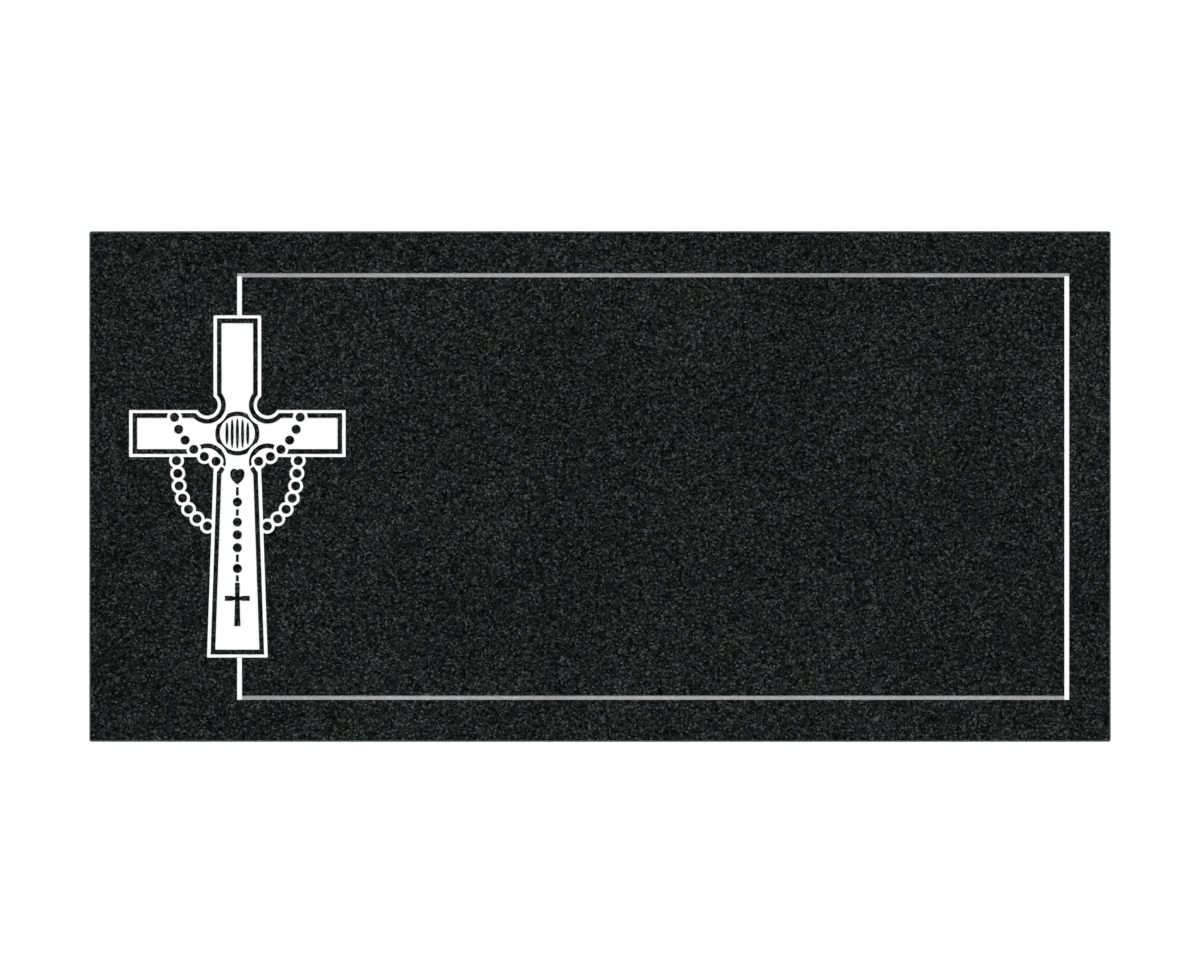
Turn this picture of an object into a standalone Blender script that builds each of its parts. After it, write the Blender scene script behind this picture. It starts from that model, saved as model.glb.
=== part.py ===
"""Flat grave marker: one slab of black granite, lying face up.

The face is polished. A Latin cross with a rosary over it is sandblasted into it: the pale
parts of the design are sunk, the dark parts stand at the height of the face. A border line
is cut round the bare field.

Lengths are metres. The origin is the middle of the underside, +X runs along the stone,
+Y to the head of the design and +Z out of the polished face.
"""

import math

import bmesh
import bpy
from mathutils import Matrix

MM = 0.001

# The stone
STONE_LENGTH = 609.6 * MM
STONE_WIDTH = 304.8 * MM
STONE_THICKNESS = 101.6 * MM
CORNER_RADIUS = 1.5 * MM
CORNER_SEGMENTS = 4
ARRIS = 0.8 * MM

# Depths below the polished face
BLAST_DEPTH = 1.6 * MM
LINE_DEPTH = 1.3 * MM
LINE_FLAT = 0.5 * MM

# The border line: its middle keeps one margin to three edges and stands in from the left one
BORDER_MARGIN = 26.4 * MM
BORDER_LEFT = 89.8 * MM
UPRIGHT_LINE_WIDTH = 3.1 * MM
LEVEL_LINE_WIDTH = 2.7 * MM

# The cross, measured from the middle of its crossing
CROSS_FROM_LEFT = 88.5 * MM
CROSSING_FROM_TOP = 120.8 * MM
CROSS_TOP = 70.6 * MM
CROSS_FOOT = 133.7 * MM
CROSS_SPAN = 129.4 * MM
TOP_ARM_WIDTH = 28.7 * MM
SIDE_ARM_HEIGHT = 28.2 * MM
FOOT_WIDTH = 36.5 * MM

# The round hollow in each inner corner of the cross
HOLLOW_X = 18.0 * MM
HOLLOW_Y = 17.0 * MM
HOLLOW_RADIUS = 6.25 * MM

# The pale outline and the dark band inside it; level lines are cut a little thinner
OUTLINE_ACROSS = 2.3 * MM
OUTLINE_ALONG = 2.0 * MM
BAND_ACROSS = 2.5 * MM
BAND_ALONG = 2.7 * MM

# The round medallion on the crossing
RING_OUTER_RADIUS = 13.0 * MM
RING_INNER_RADIUS = 10.6 * MM
RING_GAP = 2.2 * MM

# The upright strokes in the medallion
STROKE_COUNT = 5
STROKE_SPACING = 3.1 * MM
STROKE_WIDTH = 1.6 * MM
STROKE_REACH = 8.9 * MM

# The rosary: round beads, each in a pale halo, at one spacing along two strands a side
BEAD_RADIUS = 2.62 * MM
HALO_RADIUS = 4.55 * MM
BEAD_SPACING = 7.58 * MM
THREAD_WIDTH = 1.5 * MM

UPPER_BEAD_COUNT = 6
UPPER_START_X = 37.5 * MM
UPPER_START_Y = 9.7 * MM
UPPER_HEADING = 77.3
UPPER_STRAIGHT = 0.0 * MM
UPPER_BEND_RADIUS = 35.5 * MM

LOWER_BEAD_COUNT = 7
LOWER_START_X = 36.3 * MM
LOWER_START_Y = -16.2 * MM
LOWER_HEADING = 84.3
LOWER_STRAIGHT = 13.3 * MM
LOWER_BEND_RADIUS = 33.1 * MM

# The pendant under the crossing, as depths below it
HEART_TOP = 21.1 * MM
HEART_HEIGHT = 9.2 * MM
HEART_WIDTH = 8.3 * MM
HEART_LOBE_WIDTH = 4.65 * MM
HEART_LOBE_RISE = 2.55 * MM
HEART_FULLNESS = 2.4
LINK_WIDTH = 1.45 * MM
PENDANT_LINKS = ((32.1 * MM, 36.9 * MM), (45.2 * MM, 48.9 * MM),
                 (72.2 * MM, 76.5 * MM), (84.6 * MM, 88.0 * MM))
PENDANT_BEADS = (40.9 * MM, 52.9 * MM, 60.4 * MM, 68.1 * MM, 80.5 * MM)

# The little cross at the end of the pendant
PENDANT_CROSS_TOP = 89.1 * MM
PENDANT_CROSS_FOOT = 114.8 * MM
PENDANT_CROSS_ARMS = 98.3 * MM
PENDANT_CROSS_SPAN = 14.7 * MM
PENDANT_CROSS_MIDDLE_WIDTH = 2.5 * MM
PENDANT_CROSS_TOP_END = 2.6 * MM
PENDANT_CROSS_FOOT_END = 3.5 * MM
PENDANT_CROSS_ARM_WAIST = 1.7 * MM
PENDANT_CROSS_ARM_END = 2.65 * MM
PENDANT_CROSS_FLARE_START = 2.0 * MM
PENDANT_CROSS_FLARE_END = 3.2 * MM

# How round the round stretches are
BEAD_SIDES = 20
HALO_SIDES = 28
RING_SIDES = 48
ARC_STEP = 10.0
HEART_STEPS = 7
STROKE_POINTS = 6

# Cutters pass the surface that they cut by this much, and standing parts root as far below it
OVERCUT = 3.0 * MM

FACE = STONE_THICKNESS
FLOOR = FACE - BLAST_DEPTH
CROSS_X = -STONE_LENGTH / 2 + CROSS_FROM_LEFT
CROSS_Y = STONE_WIDTH / 2 - CROSSING_FROM_TOP

GRANITE_COLOUR = (0.013, 0.016, 0.016, 1.0)
GRANITE_ROUGHNESS = 0.12


def clear_scene():
    for item in list(bpy.data.objects):
        bpy.data.objects.remove(item, do_unlink=True)


def new_collection(name, parent):
    collection = bpy.data.collections.new(name)
    parent.children.link(collection)
    return collection


def granite_material():
    material = bpy.data.materials.new("polished_black_granite")
    material.use_nodes = True
    shader = material.node_tree.nodes["Principled BSDF"]
    shader.inputs["Base Color"].default_value = GRANITE_COLOUR
    shader.inputs["Roughness"].default_value = GRANITE_ROUGHNESS
    shader.inputs["Metallic"].default_value = 0.0
    material.diffuse_color = GRANITE_COLOUR
    return material


def add_object(name, bm, collection):
    """Turns a bmesh into a named object in a collection."""
    mesh = bpy.data.meshes.new(name)
    bm.to_mesh(mesh)
    bm.free()
    item = bpy.data.objects.new(name, mesh)
    collection.objects.link(item)
    return item


def as_cutter(item):
    """Marks an object that only shapes the stone."""
    item.hide_render = True
    item.display_type = "WIRE"
    return item


def curve_to_mesh(curve_object, collection):
    """Replaces a curve object by the closed mesh that it draws, in the same place."""
    bpy.context.view_layer.update()
    evaluated = curve_object.evaluated_get(bpy.context.evaluated_depsgraph_get())
    mesh = bpy.data.meshes.new_from_object(evaluated)
    bm = bmesh.new()
    bm.from_mesh(mesh)
    bmesh.ops.remove_doubles(bm, verts=bm.verts, dist=0.01 * MM)
    bmesh.ops.recalc_face_normals(bm, faces=bm.faces)
    bm.to_mesh(mesh)
    bm.free()
    name = curve_object.name
    matrix = curve_object.matrix_world.copy()
    bpy.data.objects.remove(curve_object, do_unlink=True)
    item = bpy.data.objects.new(name, mesh)
    item.matrix_world = matrix
    collection.objects.link(item)
    return item


def prism(name, outline, bottom, top, collection):
    """A flat outline in the cross's own frame, filled and given a height."""
    curve = bpy.data.curves.new(name, "CURVE")
    curve.dimensions = "2D"
    curve.fill_mode = "BOTH"
    curve.extrude = (top - bottom) / 2
    spline = curve.splines.new("POLY")
    spline.points.add(len(outline) - 1)
    for point, (x, y) in zip(spline.points, outline):
        point.co = (x, y, 0.0, 1.0)
    spline.use_cyclic_u = True
    item = bpy.data.objects.new(name, curve)
    item.location = (CROSS_X, CROSS_Y, (top + bottom) / 2)
    collection.objects.link(item)
    return as_cutter(curve_to_mesh(item, collection))


def post(name, x, y, radius, sides, bottom, top, collection):
    """A round post at a place in the cross's own frame."""
    bm = bmesh.new()
    bmesh.ops.create_cone(bm, cap_ends=True, segments=sides, radius1=radius, radius2=radius,
                          depth=top - bottom)
    item = as_cutter(add_object(name, bm, collection))
    item.location = (CROSS_X + x, CROSS_Y + y, (top + bottom) / 2)
    return item


def bar(name, start, end, width, bottom, top, collection):
    """A straight bar between two places in the cross's own frame."""
    (x0, y0), (x1, y1) = start, end
    bm = bmesh.new()
    size = (math.hypot(x1 - x0, y1 - y0), width, top - bottom)
    bmesh.ops.create_cube(bm, size=1.0, matrix=Matrix.Diagonal((*size, 1.0)))
    item = as_cutter(add_object(name, bm, collection))
    item.location = (CROSS_X + (x0 + x1) / 2, CROSS_Y + (y0 + y1) / 2, (top + bottom) / 2)
    item.rotation_euler.z = math.atan2(y1 - y0, x1 - x0)
    return item


def combine(item, operation, name, cutter):
    """Adds a Boolean modifier whose second operand is an object or a whole collection."""
    modifier = item.modifiers.new(name, "BOOLEAN")
    modifier.operation = operation
    modifier.solver = "EXACT"
    if isinstance(cutter, bpy.types.Collection):
        modifier.operand_type = "COLLECTION"
        modifier.collection = cutter
    else:
        modifier.object = cutter


def arc(centre_x, centre_y, radius, start, end):
    """Points of an arc, ends included, in steps of at most ARC_STEP degrees."""
    steps = max(2, math.ceil(abs(math.degrees(end - start)) / ARC_STEP))
    angles = [start + (end - start) * k / steps for k in range(steps + 1)]
    return [(centre_x + radius * math.cos(a), centre_y + radius * math.sin(a)) for a in angles]


def hollow_arc(side_x, arm_y, radius):
    """The round hollow of the upper right corner, from the top arm's side to the side arm's edge."""
    rise = math.sqrt(radius ** 2 - (HOLLOW_X - side_x) ** 2)
    reach = math.sqrt(radius ** 2 - (HOLLOW_Y - arm_y) ** 2)
    start = math.atan2(rise, side_x - HOLLOW_X)
    end = 2 * math.pi + math.atan2(arm_y - HOLLOW_Y, reach)
    return arc(HOLLOW_X, HOLLOW_Y, radius, start, end)


def cross_outline(across, along, lower_hollows):
    """The cross, drawn in by `across` at its upright edges and by `along` at its level ones.

    Without lower hollows, the lower inner corners are square: the beads lie over them.
    """
    side_x = TOP_ARM_WIDTH / 2 - across
    arm_x = CROSS_SPAN / 2 - across
    arm_y = SIDE_ARM_HEIGHT / 2 - along
    foot_x = FOOT_WIDTH / 2 - across
    hollow = hollow_arc(side_x, arm_y, HOLLOW_RADIUS + (across + along) / 2)
    right = [(side_x, CROSS_TOP - along)]
    right += hollow
    right += [(arm_x, arm_y), (arm_x, -arm_y)]
    lower = hollow if lower_hollows else [hollow[0], (side_x, arm_y)]
    right += [(x, -y) for x, y in reversed(lower)]
    right += [(foot_x, along - CROSS_FOOT)]
    return right + [(-x, y) for x, y in reversed(right)]


def ring_outline(radius):
    return arc(0.0, 0.0, radius, 0.0, 2 * math.pi * (1 - 1 / RING_SIDES))


def heart_outline():
    """A heart: two lobes, each the top of an ellipse, and full sides that curve in to a point."""
    half_width = HEART_WIDTH / 2
    half_lobe = HEART_LOBE_WIDTH / 2
    lobe_x = half_width - half_lobe
    shoulder = -HEART_TOP - HEART_LOBE_RISE
    drop = HEART_HEIGHT - HEART_LOBE_RISE
    notch = math.acos(-lobe_x / half_lobe)
    angles = [notch * (1 - k / HEART_STEPS) for k in range(HEART_STEPS)]
    shares = [k / HEART_STEPS for k in range(HEART_STEPS + 1)]
    right = [(lobe_x + half_lobe * math.cos(a), shoulder + HEART_LOBE_RISE * math.sin(a))
             for a in angles]
    right += [(half_width * (1 - v ** HEART_FULLNESS), shoulder - drop * v) for v in shares]
    left = [(-x, y) for x, y in reversed(right[1:-1])]
    return right + left


def stroke_outline(centre_x):
    """An upright stroke that swells in the middle and ends in two points on a circle."""
    half_height = math.sqrt(STROKE_REACH ** 2 - centre_x ** 2)
    shares = [2 * k / STROKE_POINTS - 1 for k in range(STROKE_POINTS + 1)]
    right = [(STROKE_WIDTH / 2 * math.sqrt(1 - s * s), s * half_height) for s in shares]
    left = [(-x, y) for x, y in reversed(right[1:-1])]
    return [(centre_x + x, y) for x, y in right + left]


def pendant_cross_outline():
    """A small Latin cross: a shaft that widens downwards, and arms that widen to broad ends."""
    shaft = PENDANT_CROSS_MIDDLE_WIDTH / 2
    waist = PENDANT_CROSS_ARM_WAIST / 2
    arm_end = PENDANT_CROSS_ARM_END / 2
    span = PENDANT_CROSS_SPAN / 2
    middle = -PENDANT_CROSS_ARMS
    upper = [(PENDANT_CROSS_TOP_END / 2, -PENDANT_CROSS_TOP), (shaft, middle + waist),
             (PENDANT_CROSS_FLARE_START, middle + waist),
             (PENDANT_CROSS_FLARE_END, middle + arm_end), (span, middle + arm_end)]
    lower = [(x, 2 * middle - y) for x, y in reversed(upper[1:])]
    right = upper + lower + [(PENDANT_CROSS_FOOT_END / 2, -PENDANT_CROSS_FOOT)]
    return right + [(-x, y) for x, y in reversed(right)]


def strand(start_x, start_y, heading, straight, bend_radius, count):
    """Bead places at equal spacing down a straight run and then round a bend, on the left side."""
    heading = math.radians(-heading)
    places = []
    for k in range(count):
        run = k * BEAD_SPACING
        level = min(run, straight)
        turn = max(0.0, run - straight) / bend_radius
        x = -start_x + level * math.cos(heading)
        y = start_y + level * math.sin(heading)
        x += bend_radius * (math.sin(heading + turn) - math.sin(heading))
        y -= bend_radius * (math.cos(heading + turn) - math.cos(heading))
        places.append((x, y))
    return places


def both_sides(places):
    return places + [(-x, y) for x, y in places]


def rosary_places():
    """The beads of the upper strands, which cross the arms, and of the lower ones behind them."""
    upper = strand(UPPER_START_X, UPPER_START_Y, UPPER_HEADING, UPPER_STRAIGHT,
                   UPPER_BEND_RADIUS, UPPER_BEAD_COUNT)
    lower = strand(LOWER_START_X, LOWER_START_Y, LOWER_HEADING, LOWER_STRAIGHT,
                   LOWER_BEND_RADIUS, LOWER_BEAD_COUNT)
    return upper, lower


def make_slab(collection):
    """The sawn slab: a block with small round corners and a bevelled arris round the face."""
    bm = bmesh.new()
    size = (STONE_LENGTH, STONE_WIDTH, STONE_THICKNESS)
    lift = Matrix.Translation((0.0, 0.0, STONE_THICKNESS / 2))
    bmesh.ops.create_cube(bm, size=1.0, matrix=lift @ Matrix.Diagonal((*size, 1.0)))
    corners = [e for e in bm.edges if abs(e.verts[0].co.z - e.verts[1].co.z) > FACE / 2]
    bmesh.ops.bevel(bm, geom=corners, offset=CORNER_RADIUS, segments=CORNER_SEGMENTS,
                    profile=0.5, affect="EDGES", clamp_overlap=True)
    face = max(bm.faces, key=lambda f: f.calc_center_median().z)
    bmesh.ops.bevel(bm, geom=list(face.edges), offset=ARRIS, segments=1,
                    affect="EDGES", clamp_overlap=True)
    return add_object("granite_marker", bm, collection)


def make_recess(cutters, upper, lower):
    """What is sunk flat below the face: the whole cross and a halo round each bead."""
    recess = new_collection("recess", cutters)
    prism("cross_recess", cross_outline(0.0, 0.0, False), FLOOR, FACE + OVERCUT, recess)
    for k, (x, y) in enumerate(both_sides(upper + lower)):
        post(f"halo_recess_{k:02d}", x, y, HALO_RADIUS, HALO_SIDES, FLOOR, FACE + OVERCUT, recess)
    return recess


def frustum(name, half_x, half_y, slope_x, slope_y, bottom, top, centre_x, collection):
    """A block whose sides lean out by a slope from its half sizes at the groove's bottom."""
    floor = FACE - LINE_DEPTH
    bm = bmesh.new()
    bmesh.ops.create_cube(bm, size=2.0)
    for vertex in bm.verts:
        height = top if vertex.co.z > 0 else bottom
        vertex.co.x *= half_x + slope_x * (height - floor)
        vertex.co.y *= half_y + slope_y * (height - floor)
        vertex.co.z = height
    item = as_cutter(add_object(name, bm, collection))
    item.location.x = centre_x
    return item


def make_border_groove(cutters):
    """The border line: a V groove with a narrow flat, mitred at its four corners."""
    left = -STONE_LENGTH / 2 + BORDER_LEFT
    right = STONE_LENGTH / 2 - BORDER_MARGIN
    half_x = (right - left) / 2
    half_y = STONE_WIDTH / 2 - BORDER_MARGIN
    slope_x = (UPRIGHT_LINE_WIDTH - LINE_FLAT) / 2 / LINE_DEPTH
    slope_y = (LEVEL_LINE_WIDTH - LINE_FLAT) / 2 / LINE_DEPTH
    half_flat = LINE_FLAT / 2
    floor = FACE - LINE_DEPTH
    centre_x = (left + right) / 2
    groove = frustum("border_groove", half_x + half_flat, half_y + half_flat, slope_x, slope_y,
                     floor, FACE + OVERCUT, centre_x, cutters)
    island = frustum("border_island", half_x - half_flat, half_y - half_flat,
                     -slope_x, -slope_y, floor - OVERCUT, FACE + 2 * OVERCUT, centre_x, cutters)
    combine(groove, "DIFFERENCE", "bare field", island)
    block = prism("cross_block", cross_outline(0.0, 0.0, False), FLOOR - 2 * OVERCUT,
                  FACE + 3 * OVERCUT, cutters)
    combine(groove, "DIFFERENCE", "stop at the cross", block)
    return groove


def make_bands(cutters, standing, upper):
    """The dark band inside the cross's outline, broken by the upper halos and by two threads."""
    gaps = new_collection("band_gaps", cutters)
    root = FLOOR - OVERCUT
    low = root - OVERCUT
    high = FACE + OVERCUT
    outer = (OUTLINE_ACROSS, OUTLINE_ALONG)
    inner = (OUTLINE_ACROSS + BAND_ACROSS, OUTLINE_ALONG + BAND_ALONG)
    bands = prism("cross_bands", cross_outline(*outer, True), root, FACE, standing)
    prism("inner_panel", cross_outline(*inner, True), low, high, gaps)
    for k, (x, y) in enumerate(both_sides(upper)):
        post(f"halo_gap_{k:02d}", x, y, HALO_RADIUS, HALO_SIDES, low, high, gaps)
    heart = (0.0, -HEART_TOP - HEART_HEIGHT / 2)
    for k, last_bead in enumerate(both_sides(upper[-1:])):
        bar(f"thread_gap_{k}", last_bead, heart, THREAD_WIDTH, low, high, gaps)
    combine(bands, "DIFFERENCE", "panel, halos and threads", gaps)


def make_medallion(cutters, standing):
    """The ring on the crossing, waisted beside the four hollows, and the strokes inside it."""
    gaps = new_collection("ring_gaps", cutters)
    root = FLOOR - OVERCUT
    low = root - OVERCUT
    high = FACE + OVERCUT
    ring = prism("medallion_ring", ring_outline(RING_OUTER_RADIUS), root, FACE, standing)
    prism("medallion_field", ring_outline(RING_INNER_RADIUS), low, high, gaps)
    inset = OUTLINE_ACROSS + BAND_ACROSS + OUTLINE_ALONG + BAND_ALONG
    clear_radius = HOLLOW_RADIUS + inset / 2 + RING_GAP
    for side_x in (1, -1):
        for side_y in (1, -1):
            post(f"ring_waist_{side_x}_{side_y}", side_x * HOLLOW_X, side_y * HOLLOW_Y,
                 clear_radius, RING_SIDES, low, high, gaps)
    combine(ring, "DIFFERENCE", "field and waists", gaps)
    for k in range(STROKE_COUNT):
        centre_x = (k - (STROKE_COUNT - 1) / 2) * STROKE_SPACING
        prism(f"medallion_stroke_{k}", stroke_outline(centre_x), root, FACE, standing)


def make_rosary(standing, upper, lower):
    """The beads of the strands, and the heart, links, beads and little cross of the pendant."""
    root = FLOOR - OVERCUT
    pendant = [(0.0, -depth) for depth in PENDANT_BEADS]
    for k, (x, y) in enumerate(both_sides(upper + lower) + pendant):
        post(f"bead_{k:02d}", x, y, BEAD_RADIUS, BEAD_SIDES, root, FACE, standing)
    prism("pendant_heart", heart_outline(), root, FACE, standing)
    for k, (upper_end, lower_end) in enumerate(PENDANT_LINKS):
        bar(f"pendant_link_{k}", (0.0, -upper_end), (0.0, -lower_end), LINK_WIDTH, root, FACE,
            standing)
    prism("pendant_cross", pendant_cross_outline(), root, FACE, standing)


def build():
    clear_scene()
    scene_collection = bpy.context.scene.collection
    marker = new_collection("grave_marker", scene_collection)
    cutters = new_collection("cutters", scene_collection)
    standing = new_collection("standing_carving", cutters)

    upper, lower = rosary_places()
    slab = make_slab(marker)
    slab.data.materials.append(granite_material())
    recess = make_recess(cutters, upper, lower)
    groove = make_border_groove(cutters)
    make_bands(cutters, standing, upper)
    make_medallion(cutters, standing)
    make_rosary(standing, upper, lower)

    combine(slab, "DIFFERENCE", "sandblasted recess", recess)
    combine(slab, "DIFFERENCE", "border line", groove)
    combine(slab, "UNION", "parts left standing", standing)
    bpy.context.view_layer.update()


build()
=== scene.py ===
# %% [markdown]
# # A flat granite grave marker
#
# The stone is one sawn slab of black granite that lies face up in a lawn. Its face is polished.
# A cross with a rosary is sandblasted into it and painted white, and a thin border line is cut
# round the bare field. The solid of the stone comes from model.glb. This file gives it its
# looks: softened blasted edges, a pitted floor under the paint, and the finishes.

import math

import bpy
import numpy as np
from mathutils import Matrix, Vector, geometry


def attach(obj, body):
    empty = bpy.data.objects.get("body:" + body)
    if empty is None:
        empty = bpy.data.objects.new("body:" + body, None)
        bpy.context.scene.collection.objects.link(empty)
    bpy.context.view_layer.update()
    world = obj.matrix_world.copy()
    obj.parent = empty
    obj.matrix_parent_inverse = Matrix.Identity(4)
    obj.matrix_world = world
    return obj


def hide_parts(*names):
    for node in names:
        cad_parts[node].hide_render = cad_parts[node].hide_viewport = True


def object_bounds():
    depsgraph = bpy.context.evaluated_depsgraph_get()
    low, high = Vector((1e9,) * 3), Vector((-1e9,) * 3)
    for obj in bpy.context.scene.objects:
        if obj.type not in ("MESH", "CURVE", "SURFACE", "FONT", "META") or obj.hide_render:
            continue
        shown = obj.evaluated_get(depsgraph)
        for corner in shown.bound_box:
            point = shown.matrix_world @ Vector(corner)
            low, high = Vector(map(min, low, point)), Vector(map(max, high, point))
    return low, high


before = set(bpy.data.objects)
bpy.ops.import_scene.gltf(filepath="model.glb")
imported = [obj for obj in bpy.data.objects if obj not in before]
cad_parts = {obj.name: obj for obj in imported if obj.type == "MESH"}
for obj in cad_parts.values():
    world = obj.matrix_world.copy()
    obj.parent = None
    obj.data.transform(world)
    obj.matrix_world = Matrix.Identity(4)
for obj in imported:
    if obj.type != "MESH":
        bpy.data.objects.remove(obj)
cad_low, cad_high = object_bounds()
MM = 0.001
STONE_LENGTH = cad_high.x - cad_low.x
STONE_WIDTH = cad_high.y - cad_low.y
FACE = cad_high.z
print("stone", [round(v / MM, 1) for v in (STONE_LENGTH, STONE_WIDTH, FACE)], "mm")

# %% [markdown]
# ## The drawing on the face
#
# A sandblaster cuts the whole design out of a rubber stencil, so the design is one flat drawing
# of two kinds of place: open ones, which the sand sinks, and covered ones, which stay polished.
# It could be traced as curves and cut with Booleans, as the solid is. Here it is written as
# distances instead: a function says how far any point of the face is from the edge of an open
# place, less than zero inside it. Shapes then join with a minimum, are cut with a maximum, and
# every wall, lip and floor can be worked out from the one number.

# %% Sizes of the drawing
BORDER_MARGIN = 26.4 * MM
BORDER_LEFT = 89.8 * MM
UPRIGHT_LINE_WIDTH = 3.1 * MM
LEVEL_LINE_WIDTH = 2.7 * MM

CROSS_X = cad_low.x + 88.5 * MM
CROSS_Y = cad_high.y - 120.8 * MM
CROSS_TOP = 70.6 * MM
CROSS_FOOT = 133.7 * MM
CROSS_SPAN = 129.4 * MM
TOP_ARM_WIDTH = 28.7 * MM
SIDE_ARM_HEIGHT = 28.2 * MM
FOOT_WIDTH = 36.5 * MM
HOLLOW_X = 18.0 * MM
HOLLOW_Y = 17.0 * MM
HOLLOW_RADIUS = 6.25 * MM

OUTLINE_ACROSS = 2.3 * MM
OUTLINE_ALONG = 2.0 * MM
BAND_ACROSS = 2.5 * MM
BAND_ALONG = 2.7 * MM

print("cross", round(CROSS_SPAN / MM, 1), "by", round((CROSS_TOP + CROSS_FOOT) / MM, 1), "mm")


# %% Distances of simple shapes
def disc(x, y, centre_x, centre_y, radius):
    """Distance from the centre, less the radius."""
    return np.hypot(x - centre_x, y - centre_y) - radius


def block(x, y, left, right, bottom, top):
    """The largest of the distances past the four sides, which keeps the corners sharp."""
    return np.maximum.reduce([left - x, x - right, bottom - y, y - top])


def bar(x, y, start, end, width):
    """Distance from the straight line between two points, less half of the bar's width."""
    (x0, y0), (x1, y1) = start, end
    run_x, run_y = x1 - x0, y1 - y0
    share = ((x - x0) * run_x + (y - y0) * run_y) / (run_x ** 2 + run_y ** 2)
    share = np.clip(share, 0.0, 1.0)
    return np.hypot(x - x0 - share * run_x, y - y0 - share * run_y) - width / 2


def together(*fields):
    """A point is as near as it is to the nearest of several shapes."""
    return np.minimum.reduce(fields)


def cut(field, *cutters):
    """A shape without others: the larger of its distance and the others' turned round."""
    return np.maximum.reduce([field, *[-cutter for cutter in cutters]])


# %% [markdown]
# ## The cross
#
# The cross has an upright that widens to its foot, two level arms, and a round hollow in each
# inner corner. The pale outline, the dark band and the pale panel are the same cross drawn in
# by growing amounts, so one function draws all three. Its two lower hollows are covered by
# beads, and only the band and the panel follow them.

# %% Draw the cross
TAPER_START = HOLLOW_Y + math.sqrt(HOLLOW_RADIUS ** 2 - (HOLLOW_X - TOP_ARM_WIDTH / 2) ** 2)


def cross(x, y, across, along, lower_hollows):
    """An upright and a level block joined, less a circle about each inner corner.

    The upright's half width grows in a straight line from the hollows to the foot.
    """
    side = np.abs(x)
    widening = np.clip((-y - TAPER_START) / (CROSS_FOOT - TAPER_START), 0.0, None)
    half_width = (TOP_ARM_WIDTH + (FOOT_WIDTH - TOP_ARM_WIDTH) * widening) / 2 - across
    upright = block(side, y, -CROSS_SPAN, half_width, along - CROSS_FOOT, CROSS_TOP - along)
    reach = CROSS_SPAN / 2 - across
    half_height = SIDE_ARM_HEIGHT / 2 - along
    arms = block(side, y, -reach, reach, -half_height, half_height)
    level = np.abs(y) if lower_hollows else y
    hollow = disc(side, level, HOLLOW_X, HOLLOW_Y, HOLLOW_RADIUS + (across + along) / 2)
    return cut(together(upright, arms), hollow)


def outer_cross(x, y):
    """The edge of the pale outline."""
    return cross(x, y, 0.0, 0.0, lower_hollows=False)


def band_edge(x, y):
    """The outer edge of the dark band, one outline's width inside the cross."""
    return cross(x, y, OUTLINE_ACROSS, OUTLINE_ALONG, lower_hollows=True)


def panel_edge(x, y):
    """The edge of the pale panel, one band's width further in."""
    return cross(x, y, OUTLINE_ACROSS + BAND_ACROSS, OUTLINE_ALONG + BAND_ALONG,
                 lower_hollows=True)


print("taper starts", round(TAPER_START / MM, 2), "mm below the crossing")

# %% [markdown]
# ## The rosary
#
# The rosary hangs over the arms in two short strands and falls behind them in two longer ones.
# Each strand is a straight drop that goes over into a bend, with the beads at equal steps along
# it. A bead is a polished disc in a pale halo. Where an upper bead crosses the dark band, its
# halo breaks the band, and so does the thread from the last bead to the heart.

# %% Place the beads
BEAD_RADIUS = 2.62 * MM
HALO_RADIUS = 4.55 * MM
BEAD_SPACING = 7.58 * MM
THREAD_WIDTH = 1.5 * MM


def strand(start, heading, straight, bend_radius, count):
    """Equal steps down a line at a heading in degrees, and from its end round a circle."""
    heading = math.radians(-heading)
    run = np.arange(count) * BEAD_SPACING
    level = np.minimum(run, straight)
    turn = heading + np.maximum(0.0, run - straight) / bend_radius
    x = -start[0] + level * math.cos(heading) + bend_radius * (np.sin(turn) - math.sin(heading))
    y = start[1] + level * math.sin(heading) - bend_radius * (np.cos(turn) - math.cos(heading))
    return list(zip(x, y))


def both_sides(places):
    """The same places, and again with x turned round."""
    return places + [(-x, y) for x, y in places]


upper_strand = strand((37.5 * MM, 9.7 * MM), 77.3, 0.0 * MM, 35.5 * MM, count=6)
lower_strand = strand((36.3 * MM, -16.2 * MM), 84.3, 13.3 * MM, 33.1 * MM, count=7)
upper_beads = both_sides(upper_strand)
strand_beads = upper_beads + both_sides(lower_strand)
print(len(strand_beads), "beads on the strands")

# %% The pendant's sizes
HEART_TOP = 21.1 * MM
HEART_HEIGHT = 9.2 * MM
HEART_WIDTH = 8.3 * MM
HEART_LOBE_WIDTH = 4.65 * MM
HEART_LOBE_RISE = 2.55 * MM
HEART_FULLNESS = 2.4
LINK_WIDTH = 1.45 * MM
PENDANT_LINKS = ((32.1 * MM, 36.9 * MM), (45.2 * MM, 48.9 * MM),
                 (72.2 * MM, 76.5 * MM), (84.6 * MM, 88.0 * MM))
PENDANT_BEADS = (40.9 * MM, 52.9 * MM, 60.4 * MM, 68.1 * MM, 80.5 * MM)
SMALL_CROSS_TOP = 89.1 * MM
SMALL_CROSS_FOOT = 114.8 * MM
SMALL_CROSS_ARMS = 98.3 * MM
SMALL_CROSS_SPAN = 14.7 * MM
SMALL_CROSS_MIDDLE_WIDTH = 2.5 * MM
SMALL_CROSS_TOP_END = 2.6 * MM
SMALL_CROSS_FOOT_END = 3.5 * MM
SMALL_CROSS_ARM_WAIST = 1.8 * MM
SMALL_CROSS_ARM_END = 2.85 * MM
SMALL_CROSS_FLARE_START = 2.0 * MM
SMALL_CROSS_FLARE_END = 3.2 * MM
beads = strand_beads + [(0.0, -depth) for depth in PENDANT_BEADS]


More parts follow.
